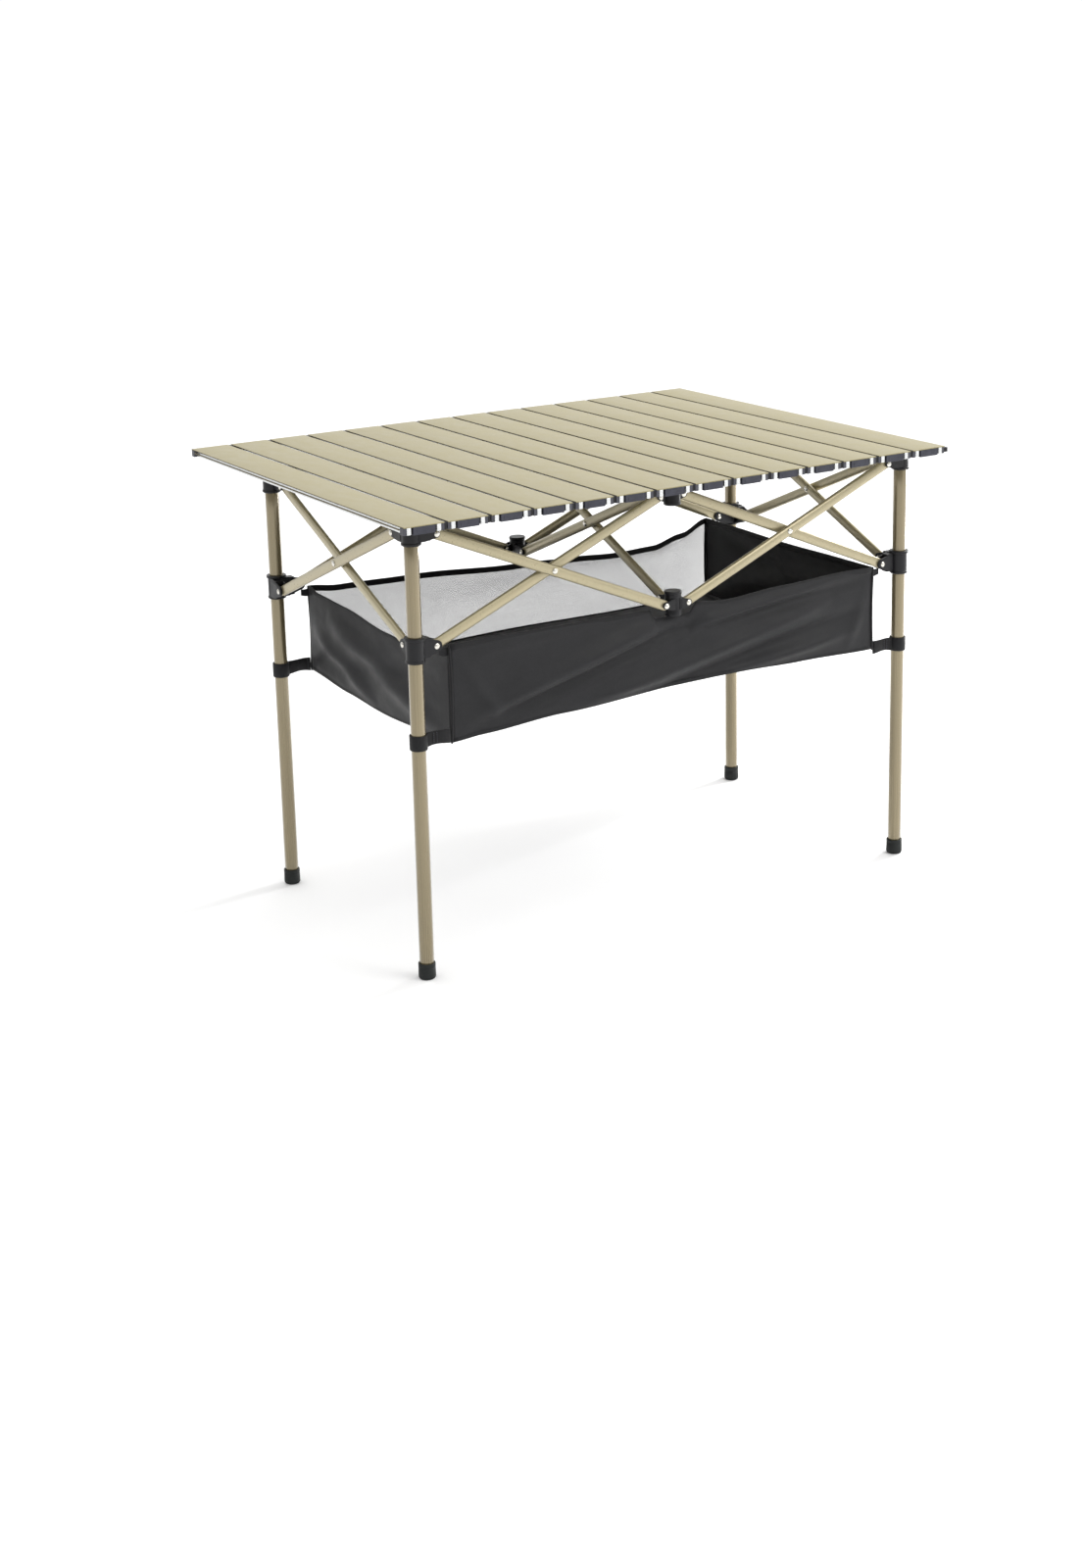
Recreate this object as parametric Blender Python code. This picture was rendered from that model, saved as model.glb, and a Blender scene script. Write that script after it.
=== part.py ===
"""Folding camp table: a slatted top that lifts off and rolls up, on a scissor
frame that folds to a bundle, with a hanging cloth basket under the top.

Metres, +Z up, origin on the floor below the middle of the table top.
-Y is the front, X runs along the table's length.
"""
import math

import bmesh
import bpy
from mathutils import Matrix, Vector

# Table top
TOP_LENGTH = 0.950
TOP_DEPTH = 0.711
TOP_Z = 0.688
SLATS = 14
SLAT_GAP = 0.0035
SLAT_HEIGHT = 0.0128
SLAT_WALL = 0.0013
SLAT_END = 0.012
RIB_INSET = 0.006

# Legs and feet: the leg frame stands a little right and forward of the top's middle
FRAME_X = 0.0185
FRAME_Y = -0.047
LEG_X = 0.4365
LEG_Y = 0.22525
LEG_R = 0.0106
LEG_WALL = 0.0011
LEG_TOP_Z = 0.6680
FOOT_R = 0.0127
FOOT_HEIGHT = 0.0240
FOOT_SOLE = 0.0045

# Scissor bars: every bar has the same length between its end pivots
PIVOT_LEG = 0.034
PIVOT_MIDDLE = 0.020
UPPER_Z = 0.6545
LOWER_Z = 0.4915
BAR_HALF = 0.0080
BAR_THICK = 0.0090
BAR_PLANE = 0.0056
PIN_R = 0.0025
PIN_HOLE_R = 0.0029

# Brackets
HUB_R = 0.0136
MIDDLE_HUB_R = 0.0130
SLIDER_HEIGHT = 0.0375
TOP_BRACKET_LOW = 0.6410
TOP_BRACKET_HIGH = 0.6745
CHEEK = 0.0024
SLOT = 0.0096
ARM_PAST_PIN = 0.0085
ARM_HEIGHT = 0.0300
ARM_TRIM = 0.0010
BAR_CLEARANCE = 0.0005
SLIDE_CLEARANCE = 0.0005
FIT_GAP = 0.0003

# Basket
BASKET_INSET = 0.054
BASKET_LOW_Z = 0.350
BASKET_TOP_Z = 0.4880
NOTCH_Z = 0.4690
NOTCH_HALF = 0.0315
NOTCH_SLOPE = 0.0025
CLOTH = 0.0015
CLOTH_GAP = 0.0005
FLAP_GAP = 0.0016
STRAP_Z = 0.357
STRAP_HEIGHT = 0.022
STRAP_THICK = 0.0016
STRAP_R = 0.0112
STRAP_GAP = 0.0007
STRAP_TRIM = 0.0005

# Construction
OVERCUT = 0.010
PIN_OVERLAP = 0.0010
WELD = 1e-6
ROUND_SIDES = 32
PIN_SIDES = 16
BAR_END_STEPS = 10

CORNERS = {
    "front_left": (-1, -1),
    "front_right": (1, -1),
    "back_left": (-1, 1),
    "back_right": (1, 1),
}

# name: (station of the upper end, station of the lower end, side of the hub's middle plane)
BARS = {
    "front_left_a": ("front_left", "front", -1),
    "front_left_b": ("front", "front_left", 1),
    "front_right_a": ("front_right", "front", -1),
    "front_right_b": ("front", "front_right", 1),
    "back_left_a": ("back_left", "back", 1),
    "back_left_b": ("back", "back_left", -1),
    "back_right_a": ("back_right", "back", 1),
    "back_right_b": ("back", "back_right", -1),
    "centre_a": ("front", "back", -1),
    "centre_b": ("back", "front", 1),
    "left_a": ("front_left", "back_left", -1),
    "left_b": ("back_left", "front_left", 1),
    "right_a": ("front_right", "back_right", 1),
    "right_b": ("back_right", "front_right", -1),
}


# ---------------------------------------------------------------- helpers

def material(name, colour, metallic, roughness):
    mat = bpy.data.materials.new(name)
    mat.use_nodes = True
    shader = mat.node_tree.nodes["Principled BSDF"]
    shader.inputs["Base Color"].default_value = (*colour, 1)
    shader.inputs["Metallic"].default_value = metallic
    shader.inputs["Roughness"].default_value = roughness
    mat.diffuse_color = (*colour, 1)
    return mat


def new_object(name, bm, origin=(0, 0, 0), finish=None):
    """Turn a bmesh in world coordinates into an object with its origin at a given point."""
    bmesh.ops.recalc_face_normals(bm, faces=bm.faces[:])
    bmesh.ops.translate(bm, verts=bm.verts[:], vec=-Vector(origin))
    mesh = bpy.data.meshes.new(name)
    bm.to_mesh(mesh)
    bm.free()
    obj = bpy.data.objects.new(name, mesh)
    obj.location = origin
    bpy.context.scene.collection.objects.link(obj)
    if finish:
        mesh.materials.append(material(name, *finish))
    return obj


def box(low, high):
    bm = bmesh.new()
    size = Vector(high) - Vector(low)
    middle = (Vector(high) + Vector(low)) / 2
    matrix = Matrix.Translation(middle) @ Matrix.Diagonal((*size, 1))
    bmesh.ops.create_cube(bm, size=1, matrix=matrix)
    return bm


def cylinder(low, high, radius, sides=ROUND_SIDES):
    """Solid cylinder between two points."""
    low, high = Vector(low), Vector(high)
    bm = bmesh.new()
    turn = (high - low).to_track_quat("Z", "Y").to_matrix().to_4x4()
    bmesh.ops.create_cone(
        bm, cap_ends=True, segments=sides, radius1=radius, radius2=radius,
        depth=(high - low).length, matrix=Matrix.Translation((low + high) / 2) @ turn,
    )
    return bm


def ring(centre, low_z, high_z, inner, outer, sides=ROUND_SIDES):
    """Upright tube."""
    bm = bmesh.new()
    loops = []
    for radius, z in ((inner, low_z), (outer, low_z), (outer, high_z), (inner, high_z)):
        loops.append([
            bm.verts.new((
                centre[0] + radius * math.cos(math.tau * k / sides),
                centre[1] + radius * math.sin(math.tau * k / sides), z,
            ))
            for k in range(sides)
        ])
    for a, b in zip(loops, loops[1:] + loops[:1]):
        for k in range(sides):
            j = (k + 1) % sides
            bm.faces.new((a[k], a[j], b[j], b[k]))
    return bm


def plate(loops, thickness):
    """Flat plate in the XZ plane with round holes: the first loop is its outline."""
    bm = bmesh.new()
    edges = []
    for loop in loops:
        verts = [bm.verts.new((x, -thickness / 2, z)) for x, z in loop]
        edges += [bm.edges.new((a, b)) for a, b in zip(verts, verts[1:] + verts[:1])]
    bmesh.ops.triangle_fill(bm, use_beauty=True, edges=edges)
    made = bmesh.ops.extrude_face_region(bm, geom=bm.faces[:])
    moved = [g for g in made["geom"] if isinstance(g, bmesh.types.BMVert)]
    bmesh.ops.translate(bm, verts=moved, vec=(0, thickness, 0))
    return bm


def arc(centre, radius, start, end, count):
    return [
        (centre + radius * math.cos(start + (end - start) * k / count),
         radius * math.sin(start + (end - start) * k / count))
        for k in range(count + 1)
    ]


def combine(bm, steps):
    """Apply a row of exact Booleans and return the result as a new bmesh."""
    base = new_object("base", bm)
    tools = []
    for operation, tool in steps:
        cutter = new_object("tool", tool)
        modifier = base.modifiers.new("boolean", "BOOLEAN")
        modifier.operation = operation
        modifier.solver = "EXACT"
        modifier.object = cutter
        tools.append(cutter)
    graph = bpy.context.evaluated_depsgraph_get()
    shaped = base.evaluated_get(graph).to_mesh()
    out = bmesh.new()
    out.from_mesh(shaped)
    base.evaluated_get(graph).to_mesh_clear()
    for obj in [base, *tools]:
        mesh = obj.data
        bpy.data.objects.remove(obj)
        bpy.data.meshes.remove(mesh)
    bmesh.ops.remove_doubles(out, verts=out.verts[:], dist=WELD)
    bmesh.ops.dissolve_degenerate(out, dist=WELD, edges=out.edges[:])
    return out


# ---------------------------------------------------------------- frame layout

def station(name):
    """Upright axis of a leg or of a middle hub, as x and y."""
    if name in CORNERS:
        sx, sy = CORNERS[name]
    else:
        sx, sy = 0, (-1 if name == "front" else 1)
    return Vector((FRAME_X + sx * LEG_X, FRAME_Y + sy * LEG_Y, 0))


def pivot_reach(name, along):
    """How far a bar's end pivot lies from the upright axis of its hub."""
    return PIVOT_LEG if name in CORNERS or abs(along.y) > 0.5 else PIVOT_MIDDLE


def bar_ends(name):
    """Upper pivot, lower pivot and plane normal of a bar."""
    upper, lower, side = BARS[name]
    start, end = station(upper), station(lower)
    along = (end - start).normalized()
    normal = Vector((0, 1, 0)) if abs(along.x) > 0.5 else Vector((1, 0, 0))
    shift = normal * side * BAR_PLANE
    top = start + along * pivot_reach(upper, along) + shift + Vector((0, 0, UPPER_Z))
    bottom = end - along * pivot_reach(lower, along) + shift + Vector((0, 0, LOWER_Z))
    return top, bottom, normal


def arms_at(name, upper):
    """Directions and plane shifts of the forks that a hub needs for its bars."""
    arms = []
    for high, low, side in BARS.values():
        if name == (high if upper else low):
            other = low if upper else high
            along = (station(other) - station(name)).normalized()
            normal = Vector((0, 1, 0)) if abs(along.x) > 0.5 else Vector((1, 0, 0))
            arms.append((along, normal, side * BAR_PLANE))
    return arms


def arm_box(centre, along, normal, shift, start, end, width, height):
    """Box from start to end along a fork's direction."""
    half = Vector((0, 0, height / 2))
    a = centre + along * start + normal * (shift - width / 2) - half
    b = centre + along * end + normal * (shift + width / 2) + half
    low = [min(a[i], b[i]) for i in range(3)]
    high = [max(a[i], b[i]) for i in range(3)]
    return box(low, high)


def hub(name, pivot_z, low_z, high_z, upper, bore):
    """Round hub with one pinned fork per bar. Its bore for a leg, if any, is (radius, low, high)."""
    base = station(name)
    centre = base + Vector((0, 0, pivot_z))
    low, high = base + Vector((0, 0, low_z)), base + Vector((0, 0, high_z))
    height = min(ARM_HEIGHT, 2 * min(pivot_z - low_z, high_z - pivot_z) - ARM_TRIM)
    wide = SLOT + 2 * CHEEK
    arms = [(*arm, pivot_reach(name, arm[0])) for arm in arms_at(name, upper)]
    steps = [
        ("UNION", arm_box(centre, along, normal, shift, 0, reach + ARM_PAST_PIN, wide, height))
        for along, normal, shift, reach in arms
    ]
    for along, normal, shift, reach in arms:
        steps.append(("DIFFERENCE", arm_box(
            centre, along, normal, shift, reach - BAR_HALF - BAR_CLEARANCE,
            reach + ARM_PAST_PIN + OVERCUT, SLOT, height + 2 * OVERCUT)))
        half = normal * (SLOT / 2 + CHEEK / 2)
        pin = centre + along * reach + normal * shift
        steps.append(("UNION", cylinder(pin - half, pin + half, PIN_R, PIN_SIDES)))
    if bore:
        steps.append(("DIFFERENCE", cylinder(base + Vector((0, 0, bore[1])),
                                             base + Vector((0, 0, bore[2])), bore[0])))
    return combine(cylinder(low, high, HUB_R if name in CORNERS else MIDDLE_HUB_R), steps)


# ---------------------------------------------------------------- pieces

BLACK_PLASTIC = ((0.020, 0.021, 0.023), 0.0, 0.45)
CHAMPAGNE = ((0.46, 0.38, 0.24), 0.75, 0.38)
SLAT_FINISH = ((0.58, 0.54, 0.38), 0.55, 0.5)
BLACK_CLOTH = ((0.025, 0.025, 0.028), 0.0, 0.85)
GREY_NET = ((0.38, 0.38, 0.38), 0.0, 0.85)


def pivot_of(corner):
    """Upper pivot that carries a leg: the origin of the leg and what is fixed to it."""
    return bar_ends(corner + "_a")[0]


def make_legs():
    for corner in CORNERS:
        base = station(corner)
        origin = pivot_of(corner)
        leg = ring(base, FOOT_SOLE + FIT_GAP, LEG_TOP_Z, LEG_R - LEG_WALL, LEG_R)
        new_object("leg_" + corner, leg, origin, CHAMPAGNE)
        foot = combine(cylinder(base, base + Vector((0, 0, FOOT_HEIGHT)), FOOT_R), [
            ("DIFFERENCE", cylinder(base + Vector((0, 0, FOOT_SOLE)),
                                    base + Vector((0, 0, FOOT_HEIGHT + OVERCUT)), LEG_R + FIT_GAP)),
        ])
        new_object("foot_" + corner, foot, origin, BLACK_PLASTIC)
        bracket = hub(corner, UPPER_Z, TOP_BRACKET_LOW, TOP_BRACKET_HIGH, True,
                      (LEG_R + FIT_GAP, TOP_BRACKET_LOW - OVERCUT, LEG_TOP_Z + FIT_GAP))
        new_object("top_bracket_" + corner, bracket, origin, BLACK_PLASTIC)


def make_sliders():
    half = SLIDER_HEIGHT / 2
    for corner, (sx, _) in CORNERS.items():
        origin = bar_ends(corner + "_b")[1]
        slider = hub(corner, LOWER_Z, LOWER_Z - half, LOWER_Z + half, False,
                     (LEG_R + SLIDE_CLEARANCE, LOWER_Z - SLIDER_HEIGHT, LOWER_Z + SLIDER_HEIGHT))
        new_object("slider_" + corner, slider, origin, BLACK_PLASTIC)
        base = station(corner)
        low, high = STRAP_Z - STRAP_HEIGHT / 2, STRAP_Z + STRAP_HEIGHT / 2
        start, end = sorted((base.x - sx * (STRAP_R + STRAP_THICK / 2),
                             base.x - sx * (BASKET_INSET - CLOTH / 2 - STRAP_GAP)))
        tail = box((start, base.y - STRAP_THICK, low + STRAP_TRIM),
                   (end, base.y + STRAP_THICK, high - STRAP_TRIM))
        strap = combine(ring(base, low, high, STRAP_R, STRAP_R + STRAP_THICK), [("UNION", tail)])
        new_object("strap_" + corner, strap, origin, BLACK_CLOTH)


def make_hubs():
    for place in ("front", "back"):
        upper = hub(place, UPPER_Z, TOP_BRACKET_LOW, TOP_BRACKET_HIGH, True, None)
        at = station(place) + Vector((0, 0, UPPER_Z))
        if place == "back":
            at = bar_ends("centre_b")[0]
        new_object(f"junction_{place}_top", upper, at, BLACK_PLASTIC)
        half = SLIDER_HEIGHT / 2
        lower = hub(place, LOWER_Z, LOWER_Z - half, LOWER_Z + half, False, None)
        at = bar_ends("front_left_a" if place == "front" else "centre_a")[1]
        new_object(f"junction_{place}_bottom", lower, at, BLACK_PLASTIC)


def make_bars():
    for name, (_, _, side) in BARS.items():
        top, bottom, normal = bar_ends(name)
        length = (bottom - top).length
        outline = arc(0, BAR_HALF, math.pi / 2, 3 * math.pi / 2, BAR_END_STEPS)
        outline += arc(length, BAR_HALF, -math.pi / 2, math.pi / 2, BAR_END_STEPS)
        first = name.endswith("_a")
        holes = [0, length] if first else [0, length / 2, length]
        loops = [outline] + [arc(x, PIN_HOLE_R, 0, math.tau, PIN_SIDES)[:-1] for x in holes]
        bar = plate(loops, BAR_THICK)
        if first:
            toward = -side * (2 * BAR_PLANE + BAR_THICK / 2 + PIN_OVERLAP)
            start = -side * BAR_THICK / 4
            pin = cylinder((length / 2, start, 0), (length / 2, toward, 0), PIN_R, PIN_SIDES)
            bar = combine(bar, [("UNION", pin)])
        along = (bottom - top).normalized()
        turn = Matrix((along, normal, along.cross(normal))).transposed().to_4x4()
        bmesh.ops.transform(bar, matrix=Matrix.Translation(top) @ turn, verts=bar.verts[:])
        # A bar turns about its end pivot, or about the crossing when its partner carries it.
        on_crossing = name in ("front_left_a", "front_right_a", "back_left_a", "back_right_a",
                               "centre_b", "left_b", "right_b")
        origin = (top + bottom) / 2 if on_crossing else top
        new_object("bar_" + name, bar, origin, CHAMPAGNE)


def slat_left(index):
    return -TOP_LENGTH / 2 + index * TOP_LENGTH / SLATS


def make_slats():
    low_y, high_y = -TOP_DEPTH / 2, TOP_DEPTH / 2
    bottom = TOP_Z - SLAT_HEIGHT
    for index in range(SLATS):
        x0 = slat_left(index) + SLAT_GAP / 2
        x1 = slat_left(index + 1) - SLAT_GAP / 2
        left_rib, right_rib = x0 + RIB_INSET, x1 - RIB_INSET
        spans = ((x0 - OVERCUT, left_rib), (left_rib + SLAT_WALL, right_rib - SLAT_WALL),
                 (right_rib, x1 + OVERCUT))
        hollows = [
            box((start, low_y + SLAT_END, bottom - OVERCUT), (end, high_y - SLAT_END, TOP_Z - SLAT_WALL))
            for start, end in spans
        ]
        whole = box((x0, low_y, bottom), (x1, high_y, TOP_Z))
        slat = combine(whole, [("DIFFERENCE", hollow) for hollow in hollows])
        origin = (slat_left(index), 0, TOP_Z)
        new_object(f"slat_{index + 1:02d}", slat, origin, SLAT_FINISH)


def make_basket():
    half_x = LEG_X - BASKET_INSET
    edge = half_x + CLOTH / 2
    inside_x = half_x - CLOTH / 2 - CLOTH_GAP
    inside_y = LEG_Y - CLOTH / 2 - CLOTH_GAP
    floor_z = BASKET_LOW_Z + CLOTH_GAP
    for place, sign in (("front", -1), ("back", 1)):
        rim = [(edge, BASKET_LOW_Z), (edge, BASKET_TOP_Z),
               (NOTCH_HALF + NOTCH_SLOPE, BASKET_TOP_Z), (NOTCH_HALF, NOTCH_Z)]
        outline = rim + [(-x, z) for x, z in reversed(rim)]
        panel = plate([outline], CLOTH)
        bmesh.ops.translate(panel, verts=panel.verts[:], vec=station(place))
        origin = bar_ends("front_left_a" if sign < 0 else "centre_a")[1]
        new_object("basket_" + place, panel, origin, BLACK_CLOTH if sign < 0 else GREY_NET)
        y0 = FRAME_Y + sign * inside_y
        y1 = FRAME_Y + sign * FLAP_GAP / 2
        floor = box((FRAME_X - inside_x, min(y0, y1), floor_z),
                    (FRAME_X + inside_x, max(y0, y1), floor_z + CLOTH))
        new_object("basket_floor_" + place, floor, (FRAME_X, y0, floor_z), BLACK_CLOTH)
    for place, sign in (("left", -1), ("right", 1)):
        x = FRAME_X + sign * half_x
        panel = box((x - CLOTH / 2, FRAME_Y - inside_y, BASKET_LOW_Z),
                    (x + CLOTH / 2, FRAME_Y + inside_y, BASKET_TOP_Z))
        origin = bar_ends(f"front_{place}_b")[1]
        new_object("basket_" + place, panel, origin, BLACK_CLOTH)


for old in list(bpy.data.objects):
    bpy.data.objects.remove(old)
make_legs()
make_sliders()
make_hubs()
make_bars()
make_slats()
make_basket()
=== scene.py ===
import math

import bmesh
import bpy
from mathutils import Matrix, Vector, noise


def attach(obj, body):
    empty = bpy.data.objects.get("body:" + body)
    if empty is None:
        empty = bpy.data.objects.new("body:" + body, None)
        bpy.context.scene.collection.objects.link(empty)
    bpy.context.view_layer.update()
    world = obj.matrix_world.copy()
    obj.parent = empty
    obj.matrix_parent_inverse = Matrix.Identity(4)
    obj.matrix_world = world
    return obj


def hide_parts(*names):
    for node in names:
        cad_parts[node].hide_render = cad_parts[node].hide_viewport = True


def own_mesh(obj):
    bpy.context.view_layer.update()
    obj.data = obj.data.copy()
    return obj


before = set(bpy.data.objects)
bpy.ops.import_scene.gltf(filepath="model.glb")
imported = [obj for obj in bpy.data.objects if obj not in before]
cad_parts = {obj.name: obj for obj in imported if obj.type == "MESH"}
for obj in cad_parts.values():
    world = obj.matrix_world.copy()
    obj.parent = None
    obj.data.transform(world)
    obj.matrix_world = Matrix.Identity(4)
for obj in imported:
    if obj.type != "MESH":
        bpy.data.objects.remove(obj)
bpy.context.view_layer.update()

# ---------------------------------------------------------------- sizes, as in the CAD source

# table top
TOP_LENGTH, TOP_DEPTH, TOP_Z = 0.950, 0.711, 0.688
SLATS, SLAT_GAP, SLAT_HEIGHT, RIB_INSET = 14, 0.0035, 0.0128, 0.006
# middle of the frame, and from there to its legs
FRAME_X, FRAME_Y, LEG_X, LEG_Y = 0.0185, -0.047, 0.4365, 0.22525
# legs and their caps
LEG_R, LEG_LOW_Z, LEG_TOP_Z = 0.0106, 0.0048, 0.668
FOOT_R, FOOT_HEIGHT = 0.0127, 0.024
# pivots: from the axis of a leg or a middle hub, and their heights
PIVOT_LEG, PIVOT_MIDDLE, UPPER_Z, LOWER_Z = 0.034, 0.020, 0.6545, 0.4915
# scissor bars: half their height, their thickness, and their offset from the plane of their pair
BAR_HALF, BAR_THICK, BAR_PLANE = 0.008, 0.009, 0.0056
# brackets, sliders and middle hubs, and their forks
HUB_R, MIDDLE_HUB_R, SLIDER_HEIGHT = 0.0136, 0.013, 0.0375
BRACKET_LOW, BRACKET_HIGH = 0.641, 0.6745
CHEEK, SLOT, ARM_HEIGHT = 0.0024, 0.0096, 0.030
# basket: from the legs to its ends, and the webbing loops
INSET = 0.054
STRAP_Z, STRAP_HEIGHT = 0.357, 0.022

CORNERS = {"front_left": (-1, -1), "front_right": (1, -1), "back_left": (-1, 1), "back_right": (1, 1)}
# bar: station of its upper end, station of its lower end, side of the pair's plane
BARS = {
    "front_left_a": ("front_left", "front", -1), "front_left_b": ("front", "front_left", 1),
    "front_right_a": ("front_right", "front", -1), "front_right_b": ("front", "front_right", 1),
    "back_left_a": ("back_left", "back", 1), "back_left_b": ("back", "back_left", -1),
    "back_right_a": ("back_right", "back", 1), "back_right_b": ("back", "back_right", -1),
    "centre_a": ("front", "back", -1), "centre_b": ("back", "front", 1),
    "left_a": ("front_left", "back_left", -1), "left_b": ("back_left", "front_left", 1),
    "right_a": ("front_right", "back_right", 1), "right_b": ("back_right", "front_right", -1),
}
UP = Vector((0, 0, 1))


def station(name):
    """Point on the floor below a leg or a middle hub."""
    sx, sy = CORNERS.get(name, (0, -1 if name == "front" else 1))
    return Vector((FRAME_X + sx * LEG_X, FRAME_Y + sy * LEG_Y, 0))


def direction(a, b):
    """Unit vector from one station to another and the normal of that bar's plane."""
    along = (station(b) - station(a)).normalized()
    normal = Vector((0, 1, 0)) if abs(along.x) > 0.5 else Vector((1, 0, 0))
    return along, normal


def pivot_reach(name, along):
    """From a station's axis to the pivots of the bars that run along a direction."""
    return PIVOT_LEG if name in CORNERS or abs(along.y) > 0.5 else PIVOT_MIDDLE


def bar_ends(name):
    """Upper and lower pivot of a bar, the normal of its plane and the side that it lies on."""
    upper, lower, side = BARS[name]
    along, normal = direction(upper, lower)
    shift = normal * side * BAR_PLANE
    top = station(upper) + along * pivot_reach(upper, along) + shift + UP * UPPER_Z
    bottom = station(lower) - along * pivot_reach(lower, along) + shift + UP * LOWER_Z
    return top, bottom, normal, side


# ---------------------------------------------------------------- materials

BAND_AT_SCALE_1 = 0.314    # metres from band to band of a wave texture whose scale is 1
FAC_LOW, FAC_HIGH = 0.3, 0.7    # most of a noise texture's values lie between these


class Nodes:
    """Short way to build a node tree."""

    def __init__(self, name):
        self.mat = bpy.data.materials.new(name)
        self.mat.use_nodes = True
        self.tree = self.mat.node_tree
        self.shader = self.tree.nodes["Principled BSDF"]
        self.coord = self.add("ShaderNodeTexCoord").outputs["Object"]

    def add(self, kind, **settings):
        node = self.tree.nodes.new(kind)
        for key, value in settings.items():
            setattr(node, key, value)
        return node

    def link(self, a, b):
        self.tree.links.new(a, b)

    def mapped(self, scale):
        node = self.add("ShaderNodeMapping")
        node.inputs["Scale"].default_value = scale
        self.link(self.coord, node.inputs["Vector"])
        return node.outputs["Vector"]

    def noise(self, scale, stretch=(1, 1, 1), detail=3.0, rough=0.55):
        """Noise on the object's own coordinates, with one scale for each axis on top."""
        node = self.add("ShaderNodeTexNoise")
        node.inputs["Scale"].default_value = scale
        node.inputs["Detail"].default_value = detail
        node.inputs["Roughness"].default_value = rough
        self.link(self.mapped(stretch), node.inputs["Vector"])
        return node.outputs["Fac"]

    def wave(self, axis, size):
        """Threads across an axis, one every size metres."""
        node = self.add("ShaderNodeTexWave", wave_type="BANDS", bands_direction=axis)
        node.inputs["Scale"].default_value = BAND_AT_SCALE_1 / size
        node.inputs["Distortion"].default_value = 0.4
        node.inputs["Detail"].default_value = 1.0
        self.link(self.coord, node.inputs["Vector"])
        return node.outputs["Fac"]

    def math(self, operation, a, b):
        """Math node on two outputs or plain numbers."""
        node = self.add("ShaderNodeMath", operation=operation)
        for socket, value in zip(node.inputs, (a, b)):
            if isinstance(value, (int, float)):
                socket.default_value = value
            else:
                self.link(value, socket)
        return node.outputs[0]

    def spread(self, fac, low, high):
        """A value from low to high with a factor."""
        node = self.add("ShaderNodeMapRange")
        for key, value in (("From Min", FAC_LOW), ("From Max", FAC_HIGH), ("To Min", low), ("To Max", high)):
            node.inputs[key].default_value = value
        self.link(fac, node.inputs["Value"])
        return node.outputs["Result"]

    def tint(self, colour, fac, low, high):
        """The colour, darker and lighter with a factor."""
        ramp = self.add("ShaderNodeValToRGB")
        dark, light = ramp.color_ramp.elements
        dark.position, light.position = FAC_LOW, FAC_HIGH
        dark.color = [c * low for c in colour] + [1]
        light.color = [min(1, c * high) for c in colour] + [1]
        self.link(fac, ramp.inputs["Fac"])
        return ramp.outputs["Color"]

    def multiply(self, a, b):
        node = self.add("ShaderNodeMix", data_type="RGBA", blend_type="MULTIPLY")
        node.inputs["Factor"].default_value = 1.0
        self.link(a, node.inputs["A"])
        self.link(b, node.inputs["B"])
        return node.outputs["Result"]

    def bump(self, height, strength, distance, under=None):
        """Normal from a height, on top of the normal under it."""
        node = self.add("ShaderNodeBump")
        node.inputs["Strength"].default_value = strength
        node.inputs["Distance"].default_value = distance
        self.link(height, node.inputs["Height"])
        if under:
            self.link(under, node.inputs["Normal"])
        return node.outputs["Normal"]

    def done(self, colour, rough, normal=None, **plain):
        """The material, with its shader's colour and normal linked and plain numbers in its other sockets."""
        s = self.shader.inputs
        self.link(colour, s["Base Color"])
        if isinstance(rough, float):
            s["Roughness"].default_value = rough
        else:
            self.link(rough, s["Roughness"])
        if normal:
            self.link(normal, s["Normal"])
        for key, value in plain.items():
            s[key.replace("_", " ")].default_value = value
        return self.mat


def metal(name, colour, metallic, rough, stretch, grain, mottle=0.05, coat=0.0):
    """Anodised or bare metal with a drawn grain along one direction."""
    n = Nodes(name)
    streak = n.noise(grain, stretch, 2.0)
    cloud = n.noise(9.0, detail=2.0)
    colour = n.multiply(n.tint(colour, streak, 1 - mottle, 1 + mottle), n.tint((1, 1, 1), cloud, 0.95, 1.0))
    normal = n.bump(streak, strength=0.06, distance=0.0001)
    return n.done(colour, n.spread(streak, rough - 0.05, rough + 0.06), normal,
                  Metallic=metallic, Coat_Weight=coat, Coat_Roughness=0.2)


def slat_metal():
    """Matt champagne coating: fine grain, a slow drift of colour from slat to slat, faint rubbing."""
    n = Nodes("slat_coat")
    base = (0.318, 0.286, 0.166)
    grain = n.noise(900.0, (1, 0.35, 1), 3.0, 0.7)
    blotch = n.noise(60.0, (1, 0.5, 1), 3.0)
    drift = n.noise(11.0, (1.4, 0.12, 1), 1.0)
    colour = n.multiply(n.tint(base, grain, 0.93, 1.06), n.tint((1, 0.995, 0.99), blotch, 0.95, 1.0))
    colour = n.multiply(colour, n.tint((1.0, 0.985, 0.95), drift, 0.97, 1.0))
    normal = n.bump(grain, 0.25, 0.00025, under=n.bump(blotch, 0.08, 0.0006))
    return n.done(colour, n.spread(blotch, 0.40, 0.50), normal, Metallic=0.35)


def plastic(name, colour, rough, grain=1400.0):
    """Moulded nylon: fine spark-eroded grain, rubbed patches a little smoother."""
    n = Nodes(name)
    fine = n.noise(grain, detail=2.0)
    rub = n.noise(70.0)
    colour = n.tint(colour, rub, 0.85, 1.25)
    normal = n.bump(fine, strength=0.18, distance=0.0002)
    return n.done(colour, n.spread(rub, rough - 0.07, rough + 0.08), normal, Specular_IOR_Level=0.3)


THREAD = 0.0011    # from thread to thread of the woven cloth


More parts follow.
